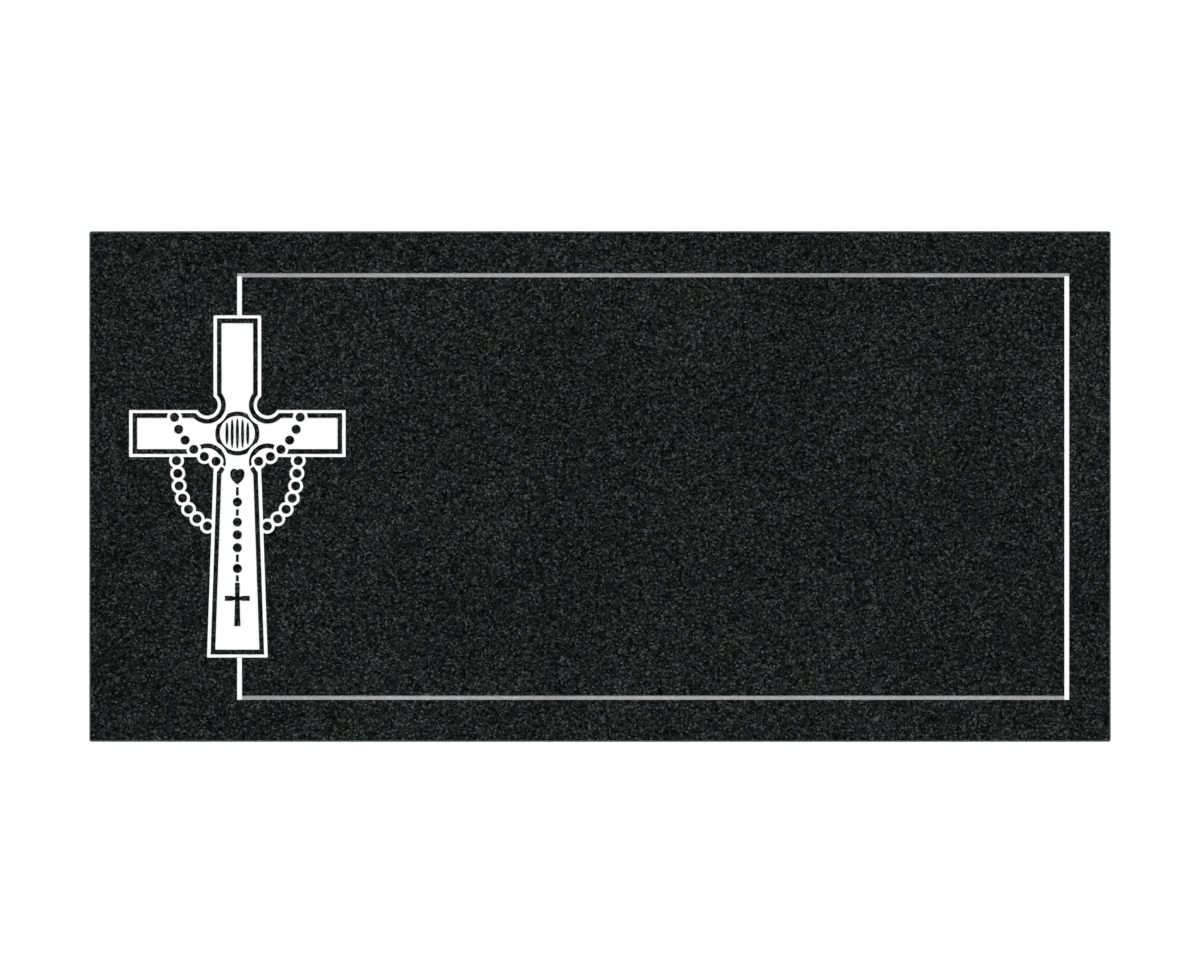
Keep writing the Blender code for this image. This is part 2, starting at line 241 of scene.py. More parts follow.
# %% Draw the heart
def ellipse(x, y, half_width, half_height):
    """How far past the edge a point is in its own scale, divided by how fast that grows."""
    size = np.maximum(np.hypot(x / half_width, y / half_height), 1e-9)
    growth = np.hypot(x / half_width ** 2, y / half_height ** 2) / size
    return (size - 1.0) / np.maximum(growth, 1.0 / max(half_width, half_height))


def heart(x, y):
    """Above the shoulder, an ellipse for each lobe. Below it, a side that curves to the point.

    The side's half width falls with a power of the share of the way down to the point.
    """
    side = np.abs(x)
    half_width = HEART_WIDTH / 2
    shoulder = -HEART_TOP - HEART_LOBE_RISE
    lobe_middle = half_width - HEART_LOBE_WIDTH / 2
    lobes = ellipse(side - lobe_middle, y - shoulder, HEART_LOBE_WIDTH / 2, HEART_LOBE_RISE)
    drop = HEART_HEIGHT - HEART_LOBE_RISE
    share = np.clip((shoulder - y) / drop, 0.0, None)
    lean = half_width * HEART_FULLNESS * share ** (HEART_FULLNESS - 1.0) / drop
    sides = (side - half_width * (1.0 - share ** HEART_FULLNESS)) / np.hypot(1.0, lean)
    return np.where(y > shoulder, lobes, sides)


# %% Draw the little cross
def limb(side, along, *stops):
    """From just behind the middle to its end, with widths read between the given places."""
    places, widths = zip(*stops)
    half_width = np.interp(along, places, widths) / 2
    return np.maximum.reduce([side - half_width, along - places[-1], -widths[0] / 2 - along])


def small_cross(x, y):
    """A shaft that widens downwards, and two arms with a waist and broad ends."""
    side = np.abs(x)
    height = y + SMALL_CROSS_ARMS
    middle = (0.0, SMALL_CROSS_MIDDLE_WIDTH)
    top = limb(side, height, middle, (SMALL_CROSS_ARMS - SMALL_CROSS_TOP, SMALL_CROSS_TOP_END))
    foot = limb(side, -height, middle,
                (SMALL_CROSS_FOOT - SMALL_CROSS_ARMS, SMALL_CROSS_FOOT_END))
    arms = limb(np.abs(height), side, (SMALL_CROSS_FLARE_START, SMALL_CROSS_ARM_WAIST),
                (SMALL_CROSS_FLARE_END, SMALL_CROSS_ARM_END),
                (SMALL_CROSS_SPAN / 2, SMALL_CROSS_ARM_END))
    return together(top, foot, arms)


# %% [markdown]
# ## The medallion
#
# A dark ring sits on the crossing. It is waisted where the four corner bands come near it.
# Inside it stands a plain ornament: a row of slim upright ovals, tallest in the middle.

# %% Draw the medallion
RING_OUTER_RADIUS = 13.0 * MM
RING_INNER_RADIUS = 10.6 * MM
RING_GAP = 2.2 * MM
STROKE_COUNT = 5
STROKE_SPACING = 3.1 * MM
STROKE_WIDTH = 1.6 * MM
STROKE_REACH = 8.9 * MM


def ring(x, y):
    """One disc less a smaller one, less a circle about each hollow of the cross."""
    inset = (OUTLINE_ACROSS + BAND_ACROSS + OUTLINE_ALONG + BAND_ALONG) / 2
    clear = disc(np.abs(x), np.abs(y), HOLLOW_X, HOLLOW_Y, HOLLOW_RADIUS + inset + RING_GAP)
    return cut(disc(x, y, 0.0, 0.0, RING_OUTER_RADIUS), disc(x, y, 0.0, 0.0, RING_INNER_RADIUS),
               clear)


def stroke(x, y, centre_x):
    """A slim ellipse that ends on a circle about the middle of the medallion."""
    half_height = math.sqrt(STROKE_REACH ** 2 - centre_x ** 2)
    return ellipse(x - centre_x, y, STROKE_WIDTH / 2, half_height)


stroke_places = (np.arange(STROKE_COUNT) - (STROKE_COUNT - 1) / 2) * STROKE_SPACING
print("strokes at", np.round(stroke_places / MM, 1), "mm")


# %% Join the drawing
def halos(x, y, places):
    """The nearest of equal circles about the places."""
    return together(*[disc(x, y, cx, cy, HALO_RADIUS) for cx, cy in places])


def standing(x, y):
    """All the polished parts that the stencil covers inside the design."""
    heart_middle = (0.0, -HEART_TOP - HEART_HEIGHT / 2)
    threads = [bar(x, y, last, heart_middle, THREAD_WIDTH)
               for last in both_sides(upper_strand[-1:])]
    band = cut(band_edge(x, y), panel_edge(x, y), halos(x, y, upper_beads), *threads)
    strokes = [stroke(x, y, place) for place in stroke_places]
    dots = [disc(x, y, cx, cy, BEAD_RADIUS) for cx, cy in beads]
    links = [block(x, y, -LINK_WIDTH / 2, LINK_WIDTH / 2, -low, -high)
             for high, low in PENDANT_LINKS]
    return together(band, ring(x, y), heart(x, y), small_cross(x, y), *strokes, *dots, *links)


def blasted(x, y):
    """Below zero where the sand has cut: the cross and the halos, less all that stands."""
    return cut(together(outer_cross(x, y), halos(x, y, strand_beads)), standing(x, y))


# %% [markdown]
# ## From distances to a surface
#
# The face is flat but for the carving, and the carving's depth depends only on the distance
# from its edge: a small lip, a steep wall, a soft inner corner and a floor. So the surface needs
# points along lines of equal distance, like the contours of a map. A fine grid over the cross
# holds the distances. Each contour is found where it crosses the grid's edges, and a
# triangulation that keeps all contour lines as edges fills the face between them. A plain grid
# of heights would need ten times as many faces for edges as sharp as these.

# %% Measure the distances on a grid
GRID_STEP = 0.45 * MM
GRID_MARGIN = 4.0 * MM
grid_x = np.arange(CROSS_X - CROSS_SPAN / 2 - GRID_MARGIN,
                   CROSS_X + CROSS_SPAN / 2 + GRID_MARGIN, GRID_STEP)
grid_y = np.arange(CROSS_Y - CROSS_FOOT - GRID_MARGIN,
                   CROSS_Y + CROSS_TOP + GRID_MARGIN, GRID_STEP)
far_x, far_y = np.meshgrid(grid_x - CROSS_X, grid_y - CROSS_Y, indexing="ij")
distance = blasted(far_x, far_y)
print("grid", distance.shape, "blasted area",
      round(float((distance < 0).sum()) * (GRID_STEP / MM) ** 2 / 100, 1), "cm2")


# %% Read a grid between its points
def on_grid(values, x, y, outside):
    """Blends the four grid values round each point by its place between them."""
    across = (x - grid_x[0]) / GRID_STEP
    along = (y - grid_y[0]) / GRID_STEP
    columns, rows = values.shape
    column = np.clip(np.floor(across).astype(int), 0, columns - 2)
    row = np.clip(np.floor(along).astype(int), 0, rows - 2)
    s = across - column
    t = along - row
    low = values[column, row] * (1 - s) + values[column + 1, row] * s
    high = values[column, row + 1] * (1 - s) + values[column + 1, row + 1] * s
    inside = (s >= 0) & (s <= 1) & (t >= 0) & (t <= 1)
    return np.where(inside, low * (1 - t) + high * t, outside)


# %% Find a contour
CROSSING_LIMIT = 0.03


def contour(values, level):
    """Points where grid edges cross a level, and the lines that join them through the cells.

    A cell has two crossed sides, or four where two lines pass its middle. There the mean of
    its corners says which pairs of sides belong together.
    """
    above = values > level
    level_sides = above[:-1, :] != above[1:, :]
    upright_sides = above[:, :-1] != above[:, 1:]
    column, row = np.nonzero(level_sides)
    share = (level - values[column, row]) / (values[column + 1, row] - values[column, row])
    share = np.clip(share, CROSSING_LIMIT, 1 - CROSSING_LIMIT)
    level_points = np.stack([grid_x[column] + share * GRID_STEP, grid_y[row]], axis=1)
    column, row = np.nonzero(upright_sides)
    share = (level - values[column, row]) / (values[column, row + 1] - values[column, row])
    share = np.clip(share, CROSSING_LIMIT, 1 - CROSSING_LIMIT)
    upright_points = np.stack([grid_x[column], grid_y[row] + share * GRID_STEP], axis=1)

    level_names = np.cumsum(level_sides).reshape(level_sides.shape) - 1
    upright_names = np.cumsum(upright_sides).reshape(upright_sides.shape) - 1
    upright_names += len(level_points)
    sides = np.stack([level_sides[:, :-1], upright_sides[1:, :],
                      level_sides[:, 1:], upright_sides[:-1, :]], axis=-1)
    names = np.stack([level_names[:, :-1], upright_names[1:, :],
                      level_names[:, 1:], upright_names[:-1, :]], axis=-1)
    crossed = sides.sum(axis=-1)
    single_names = names[crossed == 2][sides[crossed == 2]].reshape(-1, 2)
    saddles = crossed == 4
    corner_mean = (values[:-1, :-1] + values[1:, :-1] + values[:-1, 1:] + values[1:, 1:]) / 4
    turned = (above[:-1, :-1] == (corner_mean > level))[saddles]
    pairs = names[saddles]
    turned_pairs = pairs[turned][:, [0, 1, 2, 3]].reshape(-1, 2)
    other_pairs = pairs[~turned][:, [0, 3, 1, 2]].reshape(-1, 2)
    lines = np.concatenate([single_names, turned_pairs, other_pairs])
    return np.concatenate([level_points, upright_points]), lines


# %% [markdown]
# ## How the edges were softened
#
# Sand eats a little under the stencil's edge, so a blasted edge is never a knife edge. It has a
# worn lip a sixth of a millimetre wide, a wall that leans by some ten degrees and a soft corner
# at the floor. The list below is that section, from the polished face to the floor, as distances
# from the stencil's edge with their depths. Paint is wiped off the face while it is wet, and
# that takes it off the lip too. The border line is cut with a wheel instead: its section is a V
# with a narrow flat.

# %% Sections of the carving
BLAST_SECTION = ((0.04 * MM, 0.0 * MM), (-0.12 * MM, 0.12 * MM), (-0.18 * MM, 0.80 * MM),
                 (-0.28 * MM, 1.36 * MM), (-0.50 * MM, 1.54 * MM), (-0.85 * MM, 1.60 * MM))
BLAST_DEPTH = BLAST_SECTION[-1][1]
PAINT_EDGE = BLAST_SECTION[1][0]
LINE_DEPTH = 1.3 * MM
LINE_FLAT = 0.5 * MM
LINE_LIP = 0.14 * MM
LINE_LIP_DROP = 0.12 * MM
LINE_REACH = 0.5 * MM
LEAST_DEPTH = 0.015 * MM
PIT_DEPTH = 0.05 * MM
PIT_SMOOTHING = 3
PIT_SEED = 11

border_left = cad_low.x + BORDER_LEFT
border_right = cad_high.x - BORDER_MARGIN
border_middle = (border_left + border_right) / 2
border_half_x = (border_right - border_left) / 2
border_half_y = STONE_WIDTH / 2 - BORDER_MARGIN
half_upright = UPRIGHT_LINE_WIDTH / 2 - LINE_LIP
half_level = LEVEL_LINE_WIDTH / 2 - LINE_LIP


def blasted_floor():
    """Seeded random heights on the grid, averaged with their neighbours a few times."""
    pits = np.random.default_rng(PIT_SEED).standard_normal(distance.shape)
    for _ in range(PIT_SMOOTHING):
        pits = (pits + np.roll(pits, 1, 0) + np.roll(pits, 1, 1) + np.roll(pits, (1, 1), (0, 1))) / 4
    return pits / pits.std() * PIT_DEPTH


pits = blasted_floor()
print("floor lies between", np.round((BLAST_DEPTH - np.percentile(pits, [99, 1])) / MM, 2), "mm")


# %% Depth at any point
def line_depth(offset, wall_top):
    """The V section: nought beyond the lip, down a straight slope, then a narrow flat."""
    stops = [LINE_FLAT / 2, wall_top, wall_top + 2 * LINE_LIP]
    depths = [LINE_DEPTH, LINE_LIP_DROP, 0.0]
    return np.interp(np.abs(offset), stops, depths)


def border_offsets(x, y):
    """How far out a point is from the middle of the border's upright and of its level lines."""
    return np.abs(x - border_middle) - border_half_x, np.abs(y) - border_half_y


def border_depth(x, y):
    """The upright lines run between the level ones, and stop inside the cross's outline.

    Past a corner the section turns along the mitre, so the shallower of the two slopes counts.
    """
    across, along = border_offsets(x, y)
    upright = line_depth(across, half_upright)
    level = line_depth(along, half_level)
    past_across = np.where(across > 0, upright, LINE_DEPTH)
    past_along = np.where(along > 0, level, LINE_DEPTH)
    deepest = np.maximum(np.minimum(upright, past_along), np.minimum(level, past_across))
    clear = band_edge(x - CROSS_X, y - CROSS_Y) > LINE_REACH
    return np.where(clear, deepest, 0.0)


def carved_depth(x, y):
    """The deeper of the blasted section with its pits and the border line's section."""
    offsets, depths = zip(*reversed(BLAST_SECTION))
    reach = on_grid(distance, x, y, outside=GRID_MARGIN)
    depth = np.interp(reach, offsets, depths)
    depth -= on_grid(pits, x, y, outside=0.0) * (depth / BLAST_DEPTH) ** 2
    depth = np.maximum(depth, border_depth(x, y))
    return np.where(depth < LEAST_DEPTH, 0.0, depth)


# %% [markdown]
# ## The stone's outline
#
# The slab's edge is one path round the face: four sawn sides and four tiny round corners. A
# section carried along that path makes the arris, which a mason eases with a hand pad, the sawn
# sides and the small arris underneath. The pad's pressure varies, so the arris is a shade wider
# here and there.

# %% The path round the stone
CORNER_RADIUS = 1.5 * MM
CORNER_STEPS = 6
EDGE_STEP = 8.0 * MM
ARRIS = 1.2 * MM
ARRIS_WAVER = 0.10 * MM
WAVER_TURNS = ((3, 0.4, 0.5), (7, 1.9, 0.3), (17, 0.8, 0.2))


def stone_path():
    """Points and outward directions: arcs at the corners, even steps along the sides."""
    points = []
    outward = []
    corners = ((1, -1), (1, 1), (-1, 1), (-1, -1))
    for k, (sign_x, sign_y) in enumerate(corners):
        start = -math.pi / 2 + k * math.pi / 2
        angles = start + np.linspace(0.0, math.pi / 2, CORNER_STEPS + 1)
        direction = np.stack([np.cos(angles), np.sin(angles)], axis=1)
        centre = np.array([sign_x * (STONE_LENGTH / 2 - CORNER_RADIUS),
                           sign_y * (STONE_WIDTH / 2 - CORNER_RADIUS)])
        points.append(centre + CORNER_RADIUS * direction)
        outward.append(direction)
        length = (STONE_WIDTH if k % 2 == 0 else STONE_LENGTH) - 2 * CORNER_RADIUS
        count = round(length / EDGE_STEP)
        along = np.array([-direction[-1][1], direction[-1][0]])
        steps = np.arange(1, count)[:, None] * (length / count)
        points.append(points[-1][-1] + steps * along)
        outward.append(np.repeat(direction[-1:], count - 1, axis=0))
    return np.concatenate(points), np.concatenate(outward)


path, outward = stone_path()
around = np.linspace(0.0, 2 * math.pi, len(path), endpoint=False)
waver = sum(share * np.sin(turns * around + phase) for turns, phase, share in WAVER_TURNS)
face_edge = path - outward * (ARRIS + ARRIS_WAVER * waver)[:, None]
print(len(path), "points round the stone")

# %% [markdown]
# ## Filling the face
#
# The drawing for the triangulation is a set of points and of lines that must stay edges: the
# face's edge, the contours of the blasted section, and the border line's long straight edges
# with their mitres. Loose points are added on the blasted floor, for its pits, and thinly over
# the polished field, so that no triangle there is a splinter.

# %% Collect points and lines
drawing_points = []
drawing_lines = []


def draw(points, lines):
    """Adds points, and lines that name them by their place in this batch."""
    start = sum(len(batch) for batch in drawing_points)
    drawing_points.append(np.asarray(points, dtype=float))
    drawing_lines.append(np.asarray(lines, dtype=int).reshape(-1, 2) + start)


def closed_lines(count):
    """Joins each point to the next one and the last to the first."""
    first = np.arange(count)
    return np.stack([first, (first + 1) % count], axis=1)


draw(face_edge, closed_lines(len(face_edge)))
for level, _ in BLAST_SECTION:
    draw(*contour(distance, level))
print(sum(len(batch) for batch in drawing_points), "points on the edge and the contours")

# %% Draw the border line
JOINT = -0.45 * half_level
cross_top_stop = CROSS_Y + CROSS_TOP - OUTLINE_ALONG + LINE_REACH
cross_foot_stop = CROSS_Y - CROSS_FOOT + OUTLINE_ALONG - LINE_REACH


def border_corner(sign_x, sign_y, shift_x, shift_y):
    """A corner of the border's rectangle, moved outwards by the two shifts."""
    return (border_middle + sign_x * (border_half_x + shift_x),
            sign_y * (border_half_y + shift_y))


def draw_border(shift_x, shift_y):
    """One of the line's edges: three sides whole, and the left side up to the cross."""
    right_foot = border_corner(1, -1, shift_x, shift_y)
    right_top = border_corner(1, 1, shift_x, shift_y)
    left_top = border_corner(-1, 1, shift_x, shift_y)
    left_foot = border_corner(-1, -1, shift_x, shift_y)
    upper_stop = (left_top[0], cross_top_stop)
    lower_stop = (left_top[0], cross_foot_stop)
    points = [lower_stop, left_foot, right_foot, right_top, left_top, upper_stop]
    draw(points, [(k, k + 1) for k in range(len(points) - 1)])


half_flat = LINE_FLAT / 2
border_shifts = [(half_upright + 2 * LINE_LIP, half_level + 2 * LINE_LIP),
                 (half_upright, half_level), (half_flat, half_flat)]
border_shifts += [(-x, -y) for x, y in reversed(border_shifts)]
for shift_x, shift_y in border_shifts:
    draw_border(shift_x, shift_y)
for sign_x in (-1, 1):
    for sign_y in (-1, 1):
        mitre = [border_corner(sign_x, sign_y, *shifts) for shifts in border_shifts]
        draw(mitre, [(k, k + 1) for k in range(len(mitre) - 1)])
    draw([border_corner(sign_x, 1, -half_upright, JOINT),
          border_corner(sign_x, 1, half_upright, JOINT)], [(0, 1)])
    draw([border_corner(sign_x, -1, -half_upright, -half_level),
          border_corner(sign_x, -1, -half_upright, half_level)], [(0, 1)])
print("border", round(2 * border_half_x / MM, 1), "by", round(2 * border_half_y / MM, 1), "mm")

# %% Scatter loose points
FLOOR_STEP = 0.9 * MM
FIELD_STEP = 18.0 * MM
CLEAR_OF_LINES = 1.0 * MM
LARGEST_STRAY = 0.3
SCATTER_SEED = 5


def scatter(step, low_x, high_x, low_y, high_y, rng):
    """A square net whose points are each moved at random within their square."""
    x, y = np.meshgrid(np.arange(low_x, high_x, step), np.arange(low_y, high_y, step),
                       indexing="ij")
    points = np.stack([x.ravel(), y.ravel()], axis=1)
    return points + rng.uniform(-LARGEST_STRAY, LARGEST_STRAY, points.shape) * step


rng = np.random.default_rng(SCATTER_SEED)
floor_points = scatter(FLOOR_STEP, grid_x[0], grid_x[-1], grid_y[0], grid_y[-1], rng)
reach = on_grid(distance, floor_points[:, 0], floor_points[:, 1], outside=GRID_MARGIN)
floor_points = floor_points[reach < BLAST_SECTION[-1][0] - FLOOR_STEP / 3]
draw(floor_points, [])
half_x = STONE_LENGTH / 2 - FIELD_STEP / 2
half_y = STONE_WIDTH / 2 - FIELD_STEP / 2
field_points = scatter(FIELD_STEP, -half_x, half_x, -half_y, half_y, rng)
reach = on_grid(distance, field_points[:, 0], field_points[:, 1], outside=GRID_MARGIN)
off_border = carved_depth(field_points[:, 0], field_points[:, 1]) == 0.0
field_points = field_points[(reach > CLEAR_OF_LINES) & off_border]
draw(field_points, [])
print(len(floor_points), "points on the floor,", len(field_points), "on the polished field")

# %% Triangulate the face
points = np.concatenate(drawing_points) / MM
lines = np.concatenate(drawing_lines)
filled = geometry.delaunay_2d_cdt(points.tolist(), lines.tolist(), [], 0, 1e-5, False)
face_points = np.array([tuple(v) for v in filled[0]]) * MM
face_triangles = np.array(filled[2])


def past_edge(triangles, count):
    """True where three edge points are named against the edge's own turn.

    The edge wavers, and the triangulation fills its shallow hollows up to a straight line. The
    first points are the edge's, in order, so a triangle inside names them in rising order, and
    one outside in falling order, counted from its own first point.
    """
    first, second, third = triangles.T
    return (triangles < count).all(axis=1) & ((second - first) % count > (third - first) % count)


face_triangles = face_triangles[~past_edge(face_triangles, len(path))]
print(len(face_points), "points and", len(face_triangles), "triangles on the face")

# %% [markdown]
# ## The ridges left by the saw
#
# A bridge saw leaves low straight ridges where its blade wandered. They run level round the
# stone. They are part of the surface here, worked out from the height and the place along the
# path, because a side seen at a slant shows them in its shading.

# %% Sections of the side
SAW_WAVES = ((7.3 * MM, 0.55, 2.0), (3.1 * MM, 0.30, 5.0), (17.0 * MM, 0.15, 1.0))
SAW_DEPTH = 0.22 * MM
SIDE_ROWS = 96
WAVE_FADE = 1 / 12
LOWER_ARRIS = 0.8 * MM
ARRIS_SECTION = ((0.75, 0.20), (0.40, 0.54), (0.12, 0.85), (0.0, 1.12))


def saw_depth(height, turn):
    """Waves in height whose phase drifts slowly round the stone, all of it cut inwards."""
    waves = sum(share * np.sin(2 * math.pi * height / length + drift * np.sin(turn + drift))
                for length, share, drift in SAW_WAVES)
    return SAW_DEPTH * (0.5 + 0.5 * waves)


def ring_of(inset, height):
    """The path moved inwards at one height."""
    flat = path - outward * np.broadcast_to(inset, len(path))[:, None]
    return np.column_stack([flat, np.broadcast_to(height, len(path))])


arris_width = ARRIS + ARRIS_WAVER * waver
arris_rings = [ring_of(arris_width * share, FACE - arris_width * drop)
               for share, drop in ARRIS_SECTION]
side_rings = []
for share in np.linspace(0.0, 1.0, SIDE_ROWS + 1)[1:]:
    height = arris_rings[-1][:, 2] * (1 - share) + LOWER_ARRIS * share
    fade = min(1.0, share / WAVE_FADE, (1 - share) / WAVE_FADE)
    side_rings.append(ring_of(saw_depth(height, around) * fade, height))
side_rings.append(ring_of(LOWER_ARRIS, 0.0))
print(len(arris_rings), "rings on the arris,", len(side_rings), "below it")

# %% Join the face, the sides and the underside
depth = carved_depth(face_points[:, 0], face_points[:, 1])
face_points = np.column_stack([face_points, FACE - depth])
count = len(path)
print("face edge kept to", float(np.abs(face_points[:count, :2] - face_edge).max()) / MM, "mm")
stone_points = np.concatenate([face_points, *arris_rings, *side_rings])
ring_starts = [0] + [len(face_points) + k * count
                     for k in range(len(arris_rings) + len(side_rings))]
here = np.arange(count)
after = (here + 1) % count
side_faces = [np.stack([upper + here, lower + here, lower + after, upper + after], axis=1)
              for upper, lower in zip(ring_starts[:-1], ring_starts[1:])]
underside = ring_starts[-1] + here[::-1]
stone_faces = face_triangles.tolist() + np.concatenate(side_faces).tolist() + [underside.tolist()]
mesh = bpy.data.meshes.new("marker_stone")
mesh.from_pydata(stone_points.tolist(), [], stone_faces)
stone = bpy.data.objects.new("marker_stone", mesh)
bpy.context.scene.collection.objects.link(stone)
print(len(stone_points), "points,", len(stone_faces), "faces, sound:", not mesh.validate())

# %% [markdown]
# ## Which finish goes where
#
# One slab has four finishes: polished stone, white paint in the blasted places and the upright
# border lines, grey frosted stone in the level border lines, and sawn stone on the sides. The
# level lines' grey is painted shade: it stands for the shade that these grooves take while the
# upright ones catch the light from the sides. The drawing already has an edge wherever two
# finishes meet, so each face takes the finish of its middle. At the head of the stone the level
# line runs over the upright ones, and at its foot the upright ones run through.

# %% Sort the faces
# The third finish is the grey level line: frosted stone whose grey is painted shade.
POLISHED, PAINTED, SHADED_FROST, SAWN = range(4)
middles = stone_points[face_triangles].mean(axis=1)
middle_x, middle_y = middles[:, 0], middles[:, 1]
reach = on_grid(distance, middle_x, middle_y, outside=GRID_MARGIN)
across, along = border_offsets(middle_x, middle_y)
in_line = (border_depth(middle_x, middle_y) > 0) & (reach > 0)
upright_end = np.where(middle_y > 0, JOINT, half_level)
upright_line = in_line & (np.abs(across) < half_upright) & (along < upright_end)
level_line = in_line & (np.abs(along) < half_level) & (across < half_upright) & ~upright_line
finish = np.full(len(stone_faces), SAWN)
finish[:len(face_triangles)] = POLISHED
finish[:len(face_triangles)][reach < PAINT_EDGE] = PAINTED
finish[:len(face_triangles)][upright_line] = PAINTED
# The level lines take the grey finish, painted shade for grooves that the side light misses.
finish[:len(face_triangles)][level_line] = SHADED_FROST
arris_faces = slice(len(face_triangles), len(face_triangles) + len(arris_rings) * count)
finish[arris_faces] = POLISHED
mesh.polygons.foreach_set("material_index", finish)

# %% Smooth the carved faces and mark the arris
lowest = stone_points[face_triangles][:, :, 2].min(axis=1)
smooth = np.ones(len(stone_faces), dtype=bool)
smooth[:len(face_triangles)] = (lowest < FACE) & ~in_line
smooth[-1] = False
mesh.polygons.foreach_set("use_smooth", smooth)
eased = np.zeros(len(stone_points))
eased[len(face_points):len(face_points) + len(arris_rings) * count] = 1.0
mesh.attributes.new("eased", "FLOAT", "POINT").data.foreach_set("value", eased)
print("faces of each finish", np.bincount(finish).tolist())

# %% [markdown]
# ## Helpers for materials
#
# A material is a small graph of nodes. One helper adds a node with its settings, and a few more
# stand for the nodes that come up again and again, so that a material reads like a recipe. Two
# others make node groups, whose named inputs let one effect serve several materials.

# %% Node helpers
def add_node(tree, kind, inputs=None, **settings):
    """Adds a node. A value given for an input is set, and a socket given for it is linked."""
    node = tree.nodes.new(kind)
    for name, value in settings.items():
        setattr(node, name, value)
    for name, value in (inputs or {}).items():
        if isinstance(value, bpy.types.NodeSocket):
            tree.links.new(value, node.inputs[name])
        else:
            node.inputs[name].default_value = value
    return node


def feed(tree, node, **sockets):
    """Links each socket to the input whose name is the word with spaces and capitals."""
    for name, socket in sockets.items():
        tree.links.new(socket, node.inputs[name.replace("_", " ").title()])


def number(tree, operation, *values):
    """The result of a sum on numbers."""
    node = add_node(tree, "ShaderNodeMath", dict(enumerate(values)), operation=operation)
    return node.outputs[0]


def vector(tree, operation, *values):
    """The result of a sum on vectors or colours. In a SCALE the second value is a number."""
    names = (0, "Scale") if operation == "SCALE" else range(len(values))
    node = add_node(tree, "ShaderNodeVectorMath", dict(zip(names, values)), operation=operation)
    return node.outputs[0]


# %% More node helpers
def noise(tree, place, scale, detail, roughness=0.5):
    """The value and the colour of a noise texture."""
    node = add_node(tree, "ShaderNodeTexNoise", {"Vector": place, "Scale": scale,
                                                 "Detail": detail, "Roughness": roughness})
    return node.outputs[0], node.outputs[1]


def spread(tree, value, low, high, start=0.0, end=1.0):
    """Gives low where the value is at its start, high at its end, and in between by its share."""
    node = add_node(tree, "ShaderNodeMapRange", {"Value": value, "From Min": start,
                                                 "From Max": end, "To Min": low, "To Max": high})
    return node.outputs[0]


def curve(tree, value, stops):
    """A ramp of greys from pairs of a place and the grey read there."""
    node = add_node(tree, "ShaderNodeValToRGB", {0: value})
    places = node.color_ramp.elements
    for share, _ in stops[1:-1]:
        places.new(share)
    for place, (share, grey) in zip(places, stops):
        place.position = share
        place.color = (grey, grey, grey, 1)
    return node.outputs[0]


def blend(tree, share, first, second):
    """Two colours mixed by a share. They are sockets 6 and 7 of the node, and 2 of its outputs."""
    node = add_node(tree, "ShaderNodeMix", {0: share, 6: first, 7: second}, data_type="RGBA")
    return node.outputs[2]


# %% Group and material helpers
def new_group(name, inputs, outputs):
    """Makes a group from lists of (name, type, default) and (name, type)."""
    tree = bpy.data.node_groups.new(name, "ShaderNodeTree")
    for label, kind, default in inputs:
        socket = tree.interface.new_socket(label, in_out="INPUT", socket_type=kind)
        socket.default_value = default
    for label, kind in outputs:
        tree.interface.new_socket(label, in_out="OUTPUT", socket_type=kind)
    return tree, tree.nodes.new("NodeGroupInput").outputs


def place_group(tree, group, inputs=None):
    """Places a group in a material with its own values, and gives its outputs."""
    return add_node(tree, "ShaderNodeGroup", inputs, node_tree=group).outputs


def new_material(name):
    """A material, its nodes and its Principled shader."""
    material = bpy.data.materials.new(name)
    material.use_nodes = True
    return material, material.node_tree, material.node_tree.nodes["Principled BSDF"]


# %% [markdown]
# ## The grain of the granite
#
# Black granite is a mosaic of dark crystals a millimetre or so across, most of them nearly
# black and a few grey-green. A Voronoi texture in three dimensions is just such a mosaic: each
# cell gets one random value, and a slab that is sawn from it shows the same crystals turning the
# corner from face to side. A little noise bends the cells' straight borders. The random value
# goes through a curve, so that pale crystals are rare. The stone isn't quite even over larger
# stretches either: its tint drifts a little greener, redder and bluer over a centimetre, and
# darker and paler over a hand's breadth.

# %% Build the grain group
CRYSTAL_SIZE = 1.02 * MM
CRYSTAL_BEND = (0.9, 0.9, 0.9)
BEND_SCALE = 1.1
PALE_SHARE = ((0.0, 0.0), (0.08, 0.0), (0.30, 0.045), (0.50, 0.115), (0.70, 0.20),
              (0.85, 0.34), (0.95, 0.60), (1.0, 1.0))
TINT_DRIFT = (0.10, 0.28, 0.64)
TINT_SCALE = 110.0
TONE_DRIFT = 0.13
TONE_SCALE = 12.0
HALF = (0.5, 0.5, 0.5)
WHOLE = (1.0, 1.0, 1.0)

grain, given = new_group(
    "granite grain",
    [("Crystal Size", "NodeSocketFloat", CRYSTAL_SIZE),
     ("Dark", "NodeSocketColor", (0.002, 0.003, 0.003, 1)),
     ("Pale", "NodeSocketColor", (0.08, 0.10, 0.10, 1)),
     ("Drift", "NodeSocketFloat", 1.0)],
    [("Color", "NodeSocketColor"), ("Crystal", "NodeSocketFloat")])
place = add_node(grain, "ShaderNodeTexCoord").outputs["Object"]
per_metre = number(grain, "DIVIDE", 1.0, given["Crystal Size"])
cells = vector(grain, "SCALE", place, per_metre)
_, bend = noise(grain, cells, BEND_SCALE, detail=1.0)
bent_cells = vector(grain, "MULTIPLY_ADD", vector(grain, "SUBTRACT", bend, HALF), CRYSTAL_BEND,
                    cells)
crystals = add_node(grain, "ShaderNodeTexVoronoi", {"Vector": bent_cells, "Scale": 1.0})
chance = add_node(grain, "ShaderNodeSeparateColor", {0: crystals.outputs["Color"]}).outputs[0]
paleness = curve(grain, chance, PALE_SHARE)
shade = blend(grain, paleness, given["Dark"], given["Pale"])
print("crystals", round(CRYSTAL_SIZE / MM, 2), "mm across")

